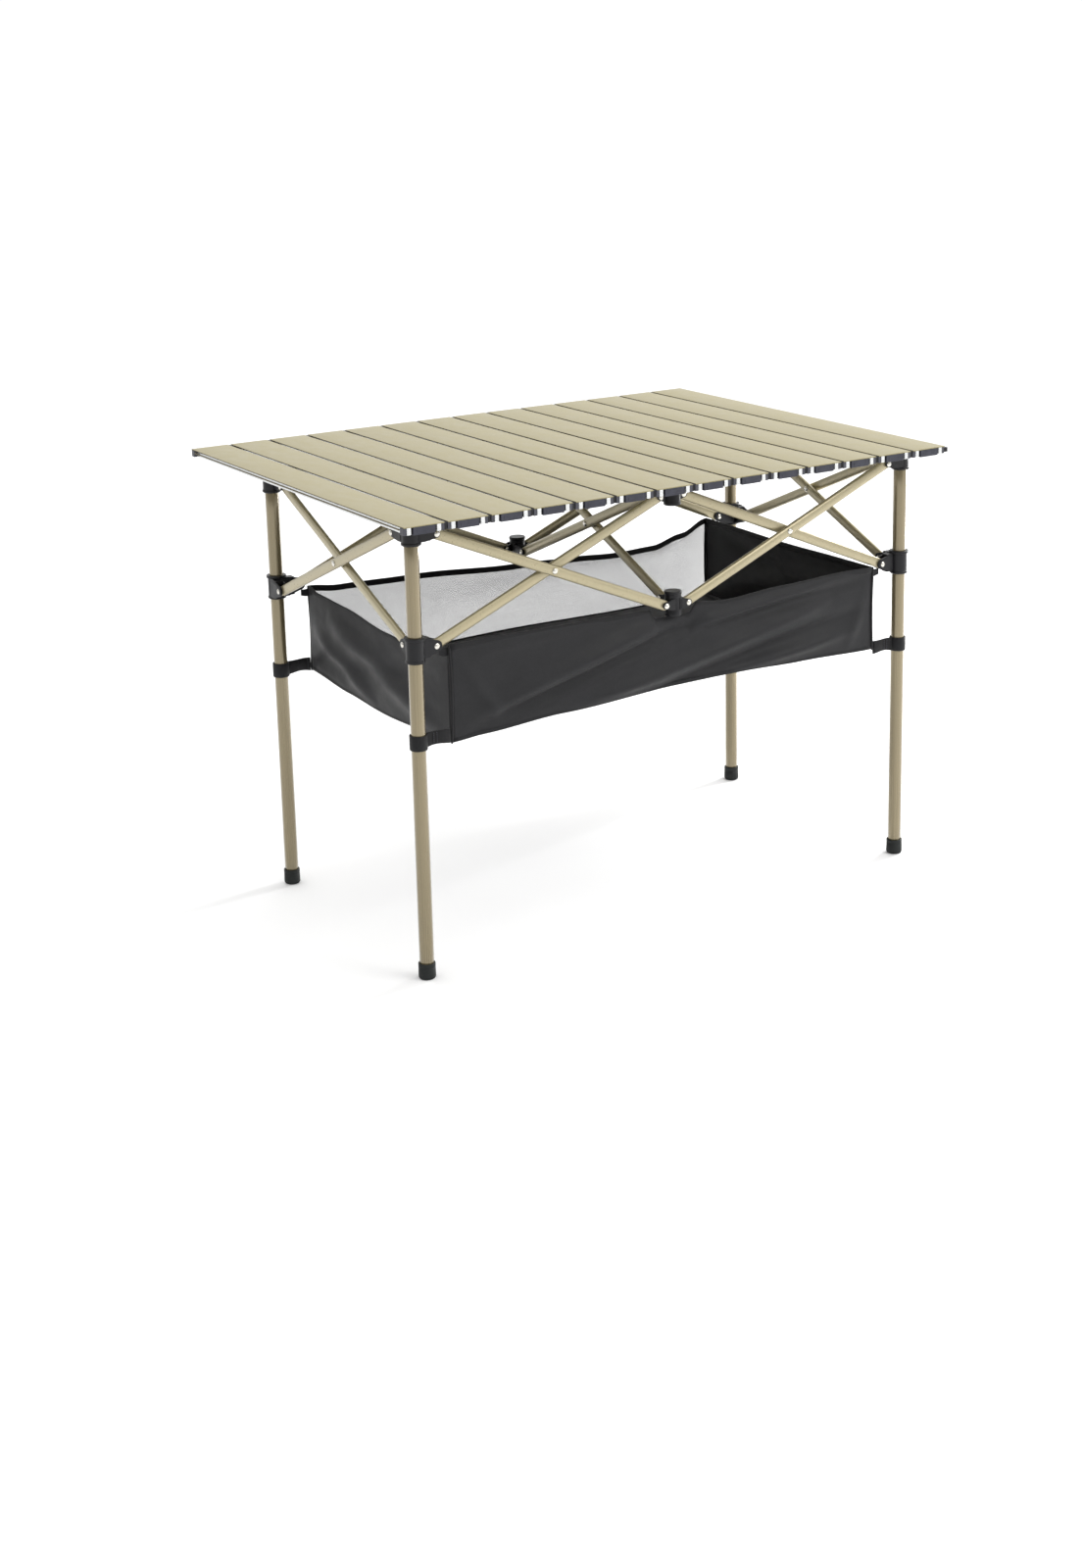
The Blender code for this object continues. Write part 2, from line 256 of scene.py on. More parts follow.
def cloth(name, colour, flat=False, rough=0.55):
    """Plain-woven polyester, upright or flat: crossed threads, slight creasing, a soft sheen, and painted
    light and shade on the creases, lighter on their highs and darker in their hollows.
    """
    n = Nodes(name)
    warp = n.wave("X", THREAD)
    if not flat:
        warp = n.math("ADD", warp, n.wave("Y", THREAD))
    weft = n.wave("Y" if flat else "Z", THREAD)
    weave = n.math("MULTIPLY", warp, weft)
    crease_and_shade = n.noise(26.0, (1, 1, 1.6), 4.0)
    dust = n.noise(240.0, detail=2.0)
    # painted light and shade: the colour is lighter on the creases' highs and darker in their hollows; the
    # dust tint is real
    colour = n.multiply(n.tint(colour, crease_and_shade, 0.85, 1.2), n.tint((1, 1, 1), dust, 0.9, 1.0))
    normal = n.bump(weave, 0.22, 0.0002, under=n.bump(crease_and_shade, 0.3, 0.002))
    return n.done(colour, n.spread(crease_and_shade, rough - 0.08, rough + 0.08), normal,
                  Sheen_Weight=0.10, Sheen_Roughness=0.4, Specular_IOR_Level=0.22)


def webbing(name, colour):
    """Ribbed binding tape."""
    n = Nodes(name)
    high, long = 0.0016, 0.0022
    rib = n.math("MULTIPLY", n.wave("Z", high), n.math("ADD", n.wave("X", long), n.wave("Y", long)))
    cloud = n.noise(60.0)
    normal = n.bump(rib, strength=0.5, distance=0.0004)
    return n.done(n.tint(colour, cloud, 0.85, 1.25), n.spread(cloud, 0.6, 0.75), normal,
                  Sheen_Weight=0.08, Specular_IOR_Level=0.25)


LEG_METAL = metal("leg_champagne", (0.235, 0.190, 0.103), metallic=0.50, rough=0.24,
                  stretch=(1, 1, 0.002), grain=900.0, mottle=0.03, coat=1.0)
BAR_METAL = metal("bar_champagne", (0.40, 0.35, 0.22), metallic=0.50, rough=0.32,
                  stretch=(1, 1, 1), grain=420.0, mottle=0.04, coat=0.4)
BARE_METAL = metal("bare_aluminium", (0.70, 0.71, 0.71), metallic=0.85, rough=0.28,
                   stretch=(1, 0.2, 1), grain=500.0)
# dark olive metal that stands in for the shade in the gaps between slats: painted shade on the plates' edge
# faces and on the strips in the gaps
GAP_SHADE_METAL = metal("slat_gap_painted_shade", (0.120, 0.100, 0.058), metallic=0.3, rough=0.55,
                   stretch=(1, 0.05, 1), grain=500.0)
RIVET_METAL = metal("rivet_steel", (0.70, 0.68, 0.62), metallic=1.0, rough=0.22,
                    stretch=(1, 1, 1), grain=300.0)
SLAT_METAL = slat_metal()
BLACK_NYLON = plastic("black_nylon", (0.0075, 0.0075, 0.0090), rough=0.38)
CAP_NYLON = plastic("cap_nylon", (0.036, 0.037, 0.050), rough=0.42)
LINK_NYLON = plastic("link_nylon", (0.060, 0.060, 0.072), rough=0.45)
RUBBER = plastic("foot_rubber", (0.012, 0.014, 0.0135), rough=0.62, grain=800.0)
BLACK_CLOTH = cloth("black_oxford", (0.016, 0.016, 0.0175))
FLOOR_CLOTH = cloth("black_oxford_floor", (0.016, 0.016, 0.0175), flat=True)
NET = cloth("black_net", (0.022, 0.022, 0.023), rough=0.75)
BLACK_TAPE = webbing("black_tape", (0.008, 0.008, 0.009))


# ---------------------------------------------------------------- mesh helpers

def to_object(name, bm, mats, body, replaces=(), bevel=0.0):
    """Finished piece from a mesh, riding on a body."""
    bmesh.ops.recalc_face_normals(bm, faces=bm.faces[:])
    mesh = bpy.data.meshes.new(name)
    bm.to_mesh(mesh)
    bm.free()
    for polygon in mesh.polygons:
        polygon.use_smooth = True
    for mat in mats:
        mesh.materials.append(mat)
    obj = bpy.data.objects.new(name, mesh)
    bpy.context.scene.collection.objects.link(obj)
    if bevel:
        mod = obj.modifiers.new("edges", "BEVEL")
        mod.width = bevel
        mod.segments = 2
        mod.limit_method = "ANGLE"
        mod.angle_limit = math.radians(38)
        mod.harden_normals = True
    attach(obj, body)
    if replaces:
        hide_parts(*replaces)
    return obj


def loft(bm, rings, mat=0, cap=True):
    """Faces between rings of points, closed at both ends unless cap is off."""
    rows = [[bm.verts.new(p) for p in ring] for ring in rings]
    count = len(rows[0])
    for a, b in zip(rows, rows[1:]):
        for k in range(count):
            j = (k + 1) % count
            bm.faces.new((a[k], a[j], b[j], b[k])).material_index = mat
    if cap:
        bm.faces.new(list(reversed(rows[0]))).material_index = mat
        bm.faces.new(rows[-1]).material_index = mat


def turned(bm, base, axis, profile, sides=40, mat=0, hollow=False):
    """Turned shape from a profile of (radius, height). A hollow one joins its last ring to its first."""
    axis = Vector(axis).normalized()
    side = axis.orthogonal().normalized()
    other = axis.cross(side)
    rings = [
        [Vector(base) + axis * h + (side * math.cos(a) + other * math.sin(a)) * r
         for a in (math.tau * k / sides for k in range(sides))]
        for r, h in profile + (profile[:1] if hollow else [])
    ]
    loft(bm, rings, mat, cap=not hollow)


def block(bm, low, high, mat=0):
    """Box given by two corners."""
    low, high = ([f(a, b) for a, b in zip(low, high)] for f in (min, max))
    x0, y0, z0 = low
    x1, y1, z1 = high
    loft(bm, [[(x0, y, z0), (x1, y, z0), (x1, y, z1), (x0, y, z1)] for y in (y0, y1)], mat)


def prism(bm, outline, origin, u, v, normal, start, end):
    """Flat outline in the u, v plane, drawn out along the normal from start to end."""
    rings = [
        [Vector(origin) + u * a + v * b + normal * w for a, b in outline]
        for w in (start, end)
    ]
    loft(bm, rings)


def rivet(bm, centre, normal, half, head):
    """Pin through a joint, in the piece's second material, with a domed head at each end."""
    shaft, tip, dome = 0.0024, 0.0008, 0.0016
    lower = [(tip, -half - dome), (head * 0.7, -half - dome * 0.75), (head, -half - dome * 0.2),
             (head, -half), (shaft, -half)]
    turned(bm, centre, normal, lower + [(r, -h) for r, h in reversed(lower)], sides=20, mat=1)


# ---------------------------------------------------------------- frame pieces


TIGHT_BORE, SLIDING_BORE = LEG_R + 0.0003, LEG_R + 0.0005


def make_legs():
    """Leg tubes and their rubber caps."""
    edge, steps = 0.001, 12
    low, r, h = LEG_LOW_Z, FOOT_R, FOOT_HEIGHT
    tube = [(LEG_R - edge, low), (LEG_R, low + edge)]
    tube += [(LEG_R, low + edge + (LEG_TOP_Z - low - 2 * edge) * k / steps) for k in range(1, steps + 1)]
    tube += [(LEG_R - edge, LEG_TOP_Z)]
    # the cap outside, with a groove below its rim, and then its bore
    cap = [(r * 0.72, 0), (r * 0.9, 0.0007), (r * 0.985, 0.0026), (r, 0.005), (r * 0.985, h - 0.0065),
           (r * 0.955, h - 0.0062), (r * 0.955, h - 0.0048), (r * 0.99, h - 0.0045),
           (r * 0.985, h - 0.0012), (r * 0.95, h), (TIGHT_BORE, h), (TIGHT_BORE, 0.005),
           (0.002, 0.005), (0.002, 0.0003)]
    for corner in CORNERS:
        base = station(corner)
        bm = bmesh.new()
        turned(bm, base, UP, tube, sides=48)
        name = "leg_" + corner
        to_object(name + "_tube", bm, [LEG_METAL], name, [name])
        bm = bmesh.new()
        turned(bm, base, UP, cap, hollow=True)
        foot = "foot_" + corner
        to_object(foot + "_cap", bm, [RUBBER], name, [foot])


def barrel(bm, base, low, high, radius, bore, lip_top, lip_low):
    """Upright body of a bracket with a lip at its ends; bored for the leg or closed."""
    mid = radius - 0.0004
    profile = [(radius * 0.93, low), (radius + lip_low, low + 0.0012), (radius + lip_low, low + 0.0036),
               (mid, low + 0.0046), (mid, high - 0.0046), (radius + lip_top, high - 0.0038),
               (radius + lip_top, high - 0.0008), (radius + lip_top - 0.0008, high)]
    if bore:
        turned(bm, base, UP, profile + [(bore, high), (bore, low)], hollow=True)
    else:
        turned(bm, base, UP, [(0.002, low)] + profile + [(0.002, high)])


# halves of a fork's height at its barrel and at its tip, how far its raised faces stand out, its pin's head
SMALL_ROOT, SMALL_TIP, LARGE_TIP, RAISED, PIN_HEAD = 0.0085, 0.0054, 0.0088, 0.0005, 0.0042


def fork(bm, centre, along, normal, shift, reach, height, small):
    """Two rounded cheeks with a rivet, on a web that grows out of the barrel."""
    root = SMALL_ROOT if small else height / 2
    tip = SMALL_TIP if small else min(root, LARGE_TIP)
    outline = [(0.004, -root), (reach * 0.45, -root), (reach, -tip)]
    angles = [-math.pi / 2 + math.pi * k / 10 for k in range(1, 11)]
    outline += [(reach + tip * math.cos(a), tip * math.sin(a)) for a in angles]
    outline += [(reach * 0.45, root), (0.004, root)]
    for side in (-1, 1):
        inner = shift + side * SLOT / 2
        outer = shift + side * (SLOT / 2 + CHEEK)
        prism(bm, outline, centre, along, UP, normal, *sorted((inner, outer)))
        raised = [(x * 0.9 + 0.003, z * 0.78) for x, z in outline]
        prism(bm, raised, centre, along, UP, normal, *sorted((outer, outer + side * RAISED)))
    web = reach - BAR_HALF - 0.0015
    half = SLOT / 2 + CHEEK * 0.7
    web_outline = [(0.003, -root * 0.94), (web, -root * 0.94), (web, root * 0.94), (0.003, root * 0.94)]
    prism(bm, web_outline, centre, along, UP, normal, shift - half, shift + half)
    pin = centre + along * reach + normal * shift
    rivet(bm, pin, normal, SLOT / 2 + CHEEK + RAISED, PIN_HEAD)


def bracket(name, place, upper, body):
    """Corner bracket, slider or middle hub with a fork for each bar that ends on it."""
    base = station(place)
    corner = place in CORNERS
    half = SLIDER_HEIGHT / 2
    low, high = (BRACKET_LOW, BRACKET_HIGH) if upper else (LOWER_Z - half, LOWER_Z + half)
    pivot = UPPER_Z if upper else LOWER_Z
    height = min(ARM_HEIGHT, 2 * min(pivot - low, high - pivot) - 0.001)
    bm = bmesh.new()
    bore = (TIGHT_BORE if upper else SLIDING_BORE) if corner else None
    lip_low = 0.0006 if corner else 0.0
    lip_top = 0.0018 if corner and not upper else 0.0004
    barrel(bm, base, low, high, HUB_R if corner else MIDDLE_HUB_R, bore, lip_top, lip_low)
    if corner and upper:
        plug_r = HUB_R - 0.0006
        plug = [(0.004, high - 0.003), (plug_r, high - 0.003), (plug_r, high - 0.0004), (0.004, high)]
        turned(bm, base, UP, plug, sides=32)
    for high_end, low_end, side in BARS.values():
        if place == (high_end if upper else low_end):
            along, normal = direction(place, low_end if upper else high_end)
            fork(bm, base + UP * pivot, along, normal, side * BAR_PLANE, pivot_reach(place, along), height,
                 upper or not corner)
    to_object(name + "_moulding", bm, [BLACK_NYLON, RIVET_METAL], body, [name], bevel=0.0006)


def make_brackets():
    """Four top brackets, four sliders and four middle hubs."""
    for corner in CORNERS:
        bracket("top_bracket_" + corner, corner, True, "leg_" + corner)
        bracket("slider_" + corner, corner, False, "slider_" + corner)
    for place in ("front", "back"):
        bracket(f"junction_{place}_top", place, True, f"hub_{place}_top")
        bracket(f"junction_{place}_bottom", place, False, f"hub_{place}_bottom")


PRESSED, PRESSED_LENGTH, BAR_SIDES, CROSSING_HEAD = 0.86, 0.030, 20, 0.0046


def bar_ring(s, length):
    """Section of an oval tube at s along it, pressed a little flatter where it is pinned."""
    past = max(-s, s - length, 0)
    high = math.sqrt(max(BAR_HALF ** 2 - past ** 2, 0))
    away = min(abs(s), abs(s - length), PRESSED_LENGTH) / PRESSED_LENGTH
    wide = BAR_THICK / 2 * (PRESSED + (1 - PRESSED) * away * away * (3 - 2 * away))
    wide *= 0.55 + 0.45 * high / BAR_HALF
    ring = []
    for k in range(BAR_SIDES):
        a = math.tau * k / BAR_SIDES
        c, d = math.cos(a), math.sin(a)
        ring.append((wide * math.copysign(abs(c) ** 0.72, c), high * math.copysign(abs(d) ** 0.86, d)))
    return ring


def make_bars():
    """Fourteen scissor bars. The first of each pair carries the rivet where they cross."""
    ends = [BAR_HALF * math.sin(math.radians(a)) for a in (84, 72, 58, 42, 22)]
    near = [0, 0.008, 0.016, 0.024, 0.032]
    for name in BARS:
        top, bottom, normal, side = bar_ends(name)
        length = (bottom - top).length
        along = (bottom - top).normalized()
        rise = normal.cross(along)
        steps = [-e for e in ends] + near
        steps += [near[-1] + (length - 2 * near[-1]) * k / 8 for k in range(1, 8)]
        steps += [length - s for s in reversed(near)] + [length + e for e in reversed(ends)]
        bm = bmesh.new()
        loft(bm, [
            [top + along * s + normal * a + rise * b for a, b in bar_ring(s, length)] for s in steps
        ])
        if name.endswith("_a"):
            middle = (top + bottom) / 2 - normal * side * BAR_PLANE
            rivet(bm, middle, normal, BAR_PLANE + BAR_THICK / 2 + 0.0002, CROSSING_HEAD)
        node = "bar_" + name
        to_object(node + "_tube", bm, [BAR_METAL, RIVET_METAL], node, [node])


# ---------------------------------------------------------------- table top

PLATE, RIB_WIDE, EDGE = 0.0016, 0.0064, 0.0009    # thickness of the plate, width of a wall, rounding
PLATE_LOW = TOP_Z - PLATE - 0.0001    # where the blocks under the plate end
# lowest and highest point and width of the dark strips in the gaps between slats, which are painted shade
SHADE_STRIP_LOW, SHADE_STRIP_HIGH, SHADE_STRIP_WIDE = TOP_Z - 0.0062, TOP_Z - 0.0042, 0.0020
END_DEPTH = 0.011    # how far the end blocks reach in


def slat_profile(x0, x1):
    """Section of a slat's top plate, with rounded edges."""
    top, low, r = TOP_Z, TOP_Z - PLATE, EDGE
    x0, x1 = x0 + EDGE, x1 - EDGE
    left = [(x0 + 0.0012, low), (x0, low + 0.0003), (x0, top - r)]
    left += [(x0 + r * (1 - math.cos(a)), top - r + r * math.sin(a)) for a in (0.6, 1.1, 1.571)]
    return left + [(x0 + x1 - x, z) for x, z in reversed(left)]


def slat_rib(bm, start, low, front, back):
    """Wall under the plate, from end to end, with a small block in its front end."""
    end, top, wall, base = start + RIB_WIDE, TOP_Z - PLATE + 0.0002, 0.0010, low + 0.0012
    rib = [(start, top), (start, base + 0.0008), (start + 0.0008, base), (end - 0.0008, base),
           (end, base + 0.0008), (end, top)]
    loft(bm, [[(x, y, z) for x, z in rib] for y in (front + 0.0006, back - 0.0006)], 1)
    block(bm, (start + wall, front + 0.0004, low + 2.2 * wall),
          (end - wall, front + 0.003, top - 1.2 * wall), 1)


# the shell's third material is the painted shade of the gaps between slats
SHELL_MATS = [SLAT_METAL, BARE_METAL, GAP_SHADE_METAL]
END_MATS = [CAP_NYLON, BLACK_NYLON, LINK_NYLON]


def slat_end(bm, x0, x1, y, side, low, last):
    """Moulded block in one end of a slat, with its links. The last slat has a tip instead of a link."""
    outer, inner = y + side * 0.0006, y - side * END_DEPTH
    block(bm, (x0 + 0.0152, outer, low + 0.0004), (x1 - 0.0152, inner, PLATE_LOW), 0)
    block(bm, (x0 + 0.0131, y - side * 0.0022, low + 0.0012), (x1 - 0.0131, inner, PLATE_LOW), 1)
    block(bm, (x0 + 0.0200, outer + side * 0.0004, low + 0.0032), (x1 - 0.0200, inner, TOP_Z - 0.0044), 0)
    for a, b in ((x0 + 0.0008, x0 + 0.0058), (x1 - 0.0058, x1 - 0.0008)):
        block(bm, (a, y - side * 0.0009, low + 0.0012), (b, inner, PLATE_LOW), 2)
    if last:
        block(bm, (x1 - 0.0006, y - side * 0.001, low + 0.0028),
              (x1 + 0.0062, y - side * 0.009, TOP_Z - 0.0030), 1)
    else:
        drop = 0.0017 if side < 0 else 0.0004
        block(bm, (x1 - 0.0006, y - side * 0.0014, low + 0.0018),
              (x1 + SLAT_GAP - 0.0003, y - side * 0.012, TOP_Z - drop), 1)


def make_slats():
    """Fourteen slats, each a shell and a piece with both of its end blocks."""
    pitch = TOP_LENGTH / SLATS
    front, back, low = -TOP_DEPTH / 2, TOP_DEPTH / 2, TOP_Z - SLAT_HEIGHT
    for index in range(SLATS):
        body = f"slat_{index + 1:02d}"
        last = index == SLATS - 1
        x0 = -TOP_LENGTH / 2 + index * pitch + SLAT_GAP / 2
        x1 = x0 + pitch - SLAT_GAP
        bm = bmesh.new()
        section = slat_profile(x0, x1)
        loft(bm, [[(x, front + TOP_DEPTH * k / 8, z) for x, z in section] for k in range(9)])
        # the plate's edge faces take the third material, painted shade for the gap to the next slat
        for face in bm.faces:
            x = face.calc_center_median().x
            if x - x0 < EDGE + 0.0002 or x1 - x < EDGE + 0.0002:
                face.material_index = 2
        for start in (x0 + RIB_INSET, x1 - RIB_INSET - RIB_WIDE):
            slat_rib(bm, start, low, front, back)
        # painted shade: dark strips that close the gap to the next slat and to the one before, standing in
        # for the shade in that gap
        strips = [] if last else [(x1 - SHADE_STRIP_WIDE, x1 + SLAT_GAP * 0.45)]
        strips.append((x0 - SLAT_GAP * 0.45 if index else x0 + 0.0005, x0 + SHADE_STRIP_WIDE))
        for a, b in strips:
            block(bm, (a, front + 0.013, SHADE_STRIP_LOW), (b, back - 0.013, SHADE_STRIP_HIGH), 2)
        to_object(body + "_shell", bm, SHELL_MATS, body, [body], bevel=0.00025)
        bm = bmesh.new()
        for side, y in ((-1, front), (1, back)):
            slat_end(bm, x0, x1, y, side, low, last)
        to_object(body + "_ends", bm, END_MATS, body, (), bevel=0.0005)


# ---------------------------------------------------------------- basket

FOLD = 2.2              # how far the folds stand out against the heights listed below
RIPPLE = 0.0022         # height of the small uneven ripples
CLOTH_HALF = 0.00045    # half the thickness of the cloth
PANEL_GAP = 0.0012      # from the end of a panel to its corner
FLOOR_GAP = 0.0022      # from the edges of the bottom to the panels
FLOOR_LIFT, FLOOR_SAG = 0.0022, 0.0045
BASKET_X = LEG_X - INSET
PANEL_BODIES = {"front": "hub_front_bottom", "back": "hub_back_bottom",
                "left": "slider_front_left", "right": "slider_front_right"}


def curve(points):
    """Smooth curve through (position, value) pairs."""
    def at(x):
        if x <= points[0][0]:
            return points[0][1]
        for (a, p), (b, q) in zip(points, points[1:]):
            if x <= b:
                t = (x - a) / (b - a)
                return p + (q - p) * t * t * (3 - 2 * t)
        return points[-1][1]
    return at


def ridges(lines, x, z):
    """Sum of long soft folds, each along a line from (x, z) to (x, z) with a width and a height."""
    total = 0.0
    for x0, z0, x1, z1, width, amount in lines:
        dx, dz = x1 - x0, z1 - z0
        size = dx * dx + dz * dz
        t = ((x - x0) * dx + (z - z0) * dz) / size
        away = ((x - x0) * dz - (z - z0) * dx) / math.sqrt(size)
        fade = max(0.0, 1 - (2 * t - 1) ** 4) if 0 < t < 1 else 0.0
        total += FOLD * amount * fade * math.exp(-(away / width) ** 2)
    return total


# Each panel: half its width, its top and bottom edges as (along, height), its folds as (along, height, along,
# height, width, depth), and how far it sags outward. Heights come from the photo, through the fitted camera.
PANELS = {
    "front": dict(
        half=BASKET_X,
        top=[(-0.3825, 0.4885), (-0.33, 0.4895), (-0.20, 0.4870), (-0.04, 0.4850), (-0.030, 0.4690),
             (0.030, 0.4690), (0.042, 0.4840), (0.10, 0.4800), (0.20, 0.4855), (0.33, 0.4895),
             (0.3825, 0.4885)],
        low=[(-0.3825, 0.3465), (-0.33, 0.3495), (-0.20, 0.3560), (0.0, 0.3625), (0.12, 0.3640),
             (0.24, 0.3600), (0.3825, 0.3560)],
        folds=[(-0.37, 0.352, 0.06, 0.462, 0.010, -0.0050), (-0.37, 0.372, 0.03, 0.480, 0.016, 0.0045),
               (-0.20, 0.352, 0.30, 0.450, 0.014, 0.0050), (-0.06, 0.352, 0.38, 0.430, 0.011, -0.0042),
               (0.03, 0.452, 0.38, 0.492, 0.009, 0.0035), (0.02, 0.435, 0.385, 0.478, 0.008, -0.0030),
               (-0.35, 0.470, -0.12, 0.488, 0.008, 0.0022), (0.08, 0.362, 0.36, 0.395, 0.010, 0.0035),
               (-0.38, 0.480, -0.30, 0.360, 0.010, 0.0024), (0.385, 0.480, 0.33, 0.360, 0.012, 0.0030)],
        sag=0.004),
    "back": dict(
        half=BASKET_X,
        top=[(-0.3825, 0.4830), (-0.33, 0.4770), (-0.20, 0.4740), (0.0, 0.4630), (0.10, 0.4585),
             (0.20, 0.4530), (0.27, 0.4545), (0.33, 0.4680), (0.3825, 0.4880)],
        low=[(-0.3825, 0.3480), (-0.20, 0.3470), (0.0, 0.3500), (0.20, 0.3480), (0.3825, 0.3500)],
        folds=[(-0.2, 0.40, 0.37, 0.45, 0.03, 0.0040), (-0.36, 0.46, 0.10, 0.38, 0.03, 0.0030)],
        sag=0.006),
    "left": dict(
        half=LEG_Y,
        top=[(-0.22525, 0.4860), (-0.195, 0.4740), (-0.125, 0.4620), (-0.03, 0.4640), (0.10, 0.4745),
             (0.19, 0.4770), (0.22525, 0.4835)],
        low=[(-0.22525, 0.3460), (-0.14, 0.3400), (-0.02, 0.3360), (0.10, 0.3400), (0.22525, 0.3475)],
        folds=[(-0.21, 0.352, 0.16, 0.452, 0.020, 0.0040), (-0.20, 0.44, 0.20, 0.36, 0.018, -0.0030),
               (0.0, 0.345, 0.21, 0.42, 0.014, 0.0028)],
        sag=0.005),
    "right": dict(
        half=LEG_Y,
        top=[(-0.22525, 0.4885), (-0.15, 0.4880), (0.0, 0.4860), (0.15, 0.4880), (0.22525, 0.4885)],
        low=[(-0.22525, 0.3560), (-0.10, 0.3500), (0.05, 0.3470), (0.22525, 0.3510)],
        folds=[(-0.2, 0.36, 0.18, 0.47, 0.018, 0.0035), (-0.18, 0.46, 0.2, 0.38, 0.02, -0.0030)],
        sag=0.005),
}


def panel_frame(place):
    """Middle of the panel on the floor plan, direction along it and outward normal."""
    if place in ("front", "back"):
        side = -1 if place == "front" else 1
        return Vector((FRAME_X, FRAME_Y + side * LEG_Y, 0)), Vector((1, 0, 0)), Vector((0, side, 0))
    side = -1 if place == "left" else 1
    return Vector((FRAME_X + side * BASKET_X, FRAME_Y, 0)), Vector((0, 1, 0)), Vector((side, 0, 0))


def panel_point(place, u, t, out=0.0):
    """Point of a panel: u along it, t from 0 at the bottom to 1 at the top, out along the normal."""
    spec = PANELS[place]
    middle, along, normal = panel_frame(place)
    low, top = curve(spec["low"])(u), curve(spec["top"])(u)
    z = low + (top - low) * t
    edge = 1 - (abs(u) / spec["half"]) ** 6
    depth = spec["sag"] * 4 * t * (1 - t) * edge
    fade = edge * min(1, (1 - t) * 5) * min(1, t * 6 + 0.3)
    depth += ridges(spec["folds"], u, z) * fade
    ripple = noise.noise(Vector((u * 11, z * 17, len(place)))) * RIPPLE
    depth += ripple * fade * (0.4 + 0.6 * math.sin(math.pi * t))
    if place == "front":    # the middle hub holds the notch in a little
        depth -= 0.0045 * max(0.0, 1 - abs(u) / 0.07) * t
    return middle + along * u + UP * z + normal * (depth + out)


def skin(bm, rows_out, rows_in):
    """Closed thin shell between two grids of points."""
    outer = [[bm.verts.new(p) for p in row] for row in rows_out]
    inner = [[bm.verts.new(p) for p in row] for row in rows_in]
    for grid, flip in ((outer, False), (inner, True)):
        for a, b in zip(grid, grid[1:]):
            for k in range(len(a) - 1):
                face = (a[k], a[k + 1], b[k + 1], b[k])
                bm.faces.new(tuple(reversed(face)) if flip else face)
    rims = [[grid[0], [r[-1] for r in grid], grid[-1][::-1], [r[0] for r in grid][::-1]]
            for grid in (outer, inner)]
    for a, b in zip(*rims):
        for k in range(len(a) - 1):
            bm.faces.new((a[k + 1], a[k], b[k], b[k + 1]))


def panel_cloth(place, cells_u, cells_t):
    """Cloth of a panel, closed and as thick as the cloth."""
    half = PANELS[place]["half"] - PANEL_GAP
    bm = bmesh.new()
    grids = [
        [[panel_point(place, -half + 2 * half * i / cells_u, j / cells_t, out) for i in range(cells_u + 1)]
         for j in range(cells_t + 1)]
        for out in (CLOTH_HALF, -CLOTH_HALF)
    ]
    skin(bm, *grids)
    return bm


# net: from thread to thread, half a thread's width and depth, how far a thread runs along while it rises
NET_SPACING, NET_WIDE, NET_THICK, NET_RUN = 0.0021, 0.00031, 0.00014, 0.118


def panel_net(place):
    """Knitted net of crossed diagonal threads, each a flattened closed thread."""
    half = PANELS[place]["half"] - PANEL_GAP
    _, along, normal = panel_frame(place)
    bm = bmesh.new()
    for lean in (-1, 1):
        across = (UP - along * lean).normalized() * NET_WIDE
        through = normal * NET_THICK
        for k in range(int((2 * half + NET_RUN) / NET_SPACING)):
            start = -half - NET_RUN + k * NET_SPACING
            t0, t1 = max(0, (-half - start) / NET_RUN), min(1, (half - start) / NET_RUN)
            if t1 - t0 < 0.03:
                continue
            steps = max(2, round(12 * (t1 - t0)))
            rings = []
            for m in range(steps + 1):
                t = t0 + (t1 - t0) * m / steps
                u = max(-half, min(half, start + NET_RUN * t))
                p = panel_point(place, lean * u, t, lean * 0.0001)
                rings.append([p + across, p + through, p - across, p - through])
            loft(bm, rings)
    return bm


TAPE_THICK, TAPE_STEPS = 0.0021, 72
TAPE_SECTION = ((-1, -0.45), (-0.6, -1), (0.6, -1), (1, -0.45), (1, 0.75), (0.55, 1), (-0.55, 1), (-1, 0.75))


def edge_tape(place, t, high, drop):
    """Flat binding with rounded edges along the panel's edge at t."""
    half = PANELS[place]["half"] - 0.0008
    _, _, normal = panel_frame(place)
    bm = bmesh.new()
    rings = []
    for k in range(TAPE_STEPS + 1):
        point = panel_point(place, -half + 2 * half * k / TAPE_STEPS, t) - UP * drop
        rings.append([point + normal * a * TAPE_THICK / 2 + UP * b * high / 2 for a, b in TAPE_SECTION])
    loft(bm, rings)
    return bm


def squash(piece, place):
    """Give a piece its own copy of its mesh; both branches do the same and nothing is shortened."""
    if place in ("front", "back"):
        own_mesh(piece)
    else:
        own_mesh(piece)


def panel_area(place):
    """Flat area of the cut panel between its curved edges."""
    count = 200
    spec = PANELS[place]
    half = spec["half"] - PANEL_GAP
    step = 2 * half / count
    us = [-half + (k + 0.5) * step for k in range(count)]
    return sum((curve(spec["top"])(u) - curve(spec["low"])(u)) * step for u in us)


def make_basket():
    """Four panels with their bindings, the corner piping and the bottom."""
    for place, body in PANEL_BODIES.items():
        node = "basket_" + place
        if place == "back":
            bm, mat = panel_net(place), NET
        else:
            bm, mat = panel_cloth(place, 150 if place == "front" else 96, 36), BLACK_CLOTH
        panel = to_object(node + "_cloth", bm, [mat], body, [node])
        for t, high, drop, label in ((1.0, 0.0095, 0.0035, "rim_tape"), (0.0, 0.0060, -0.0022, "hem_tape")):
            trim = to_object(f"{node}_{label}", edge_tape(place, t, high, drop), [BLACK_TAPE], body, ())
            squash(trim, place)
        squash(panel, place)
        panel_area(place)
    make_piping()
    make_floor()


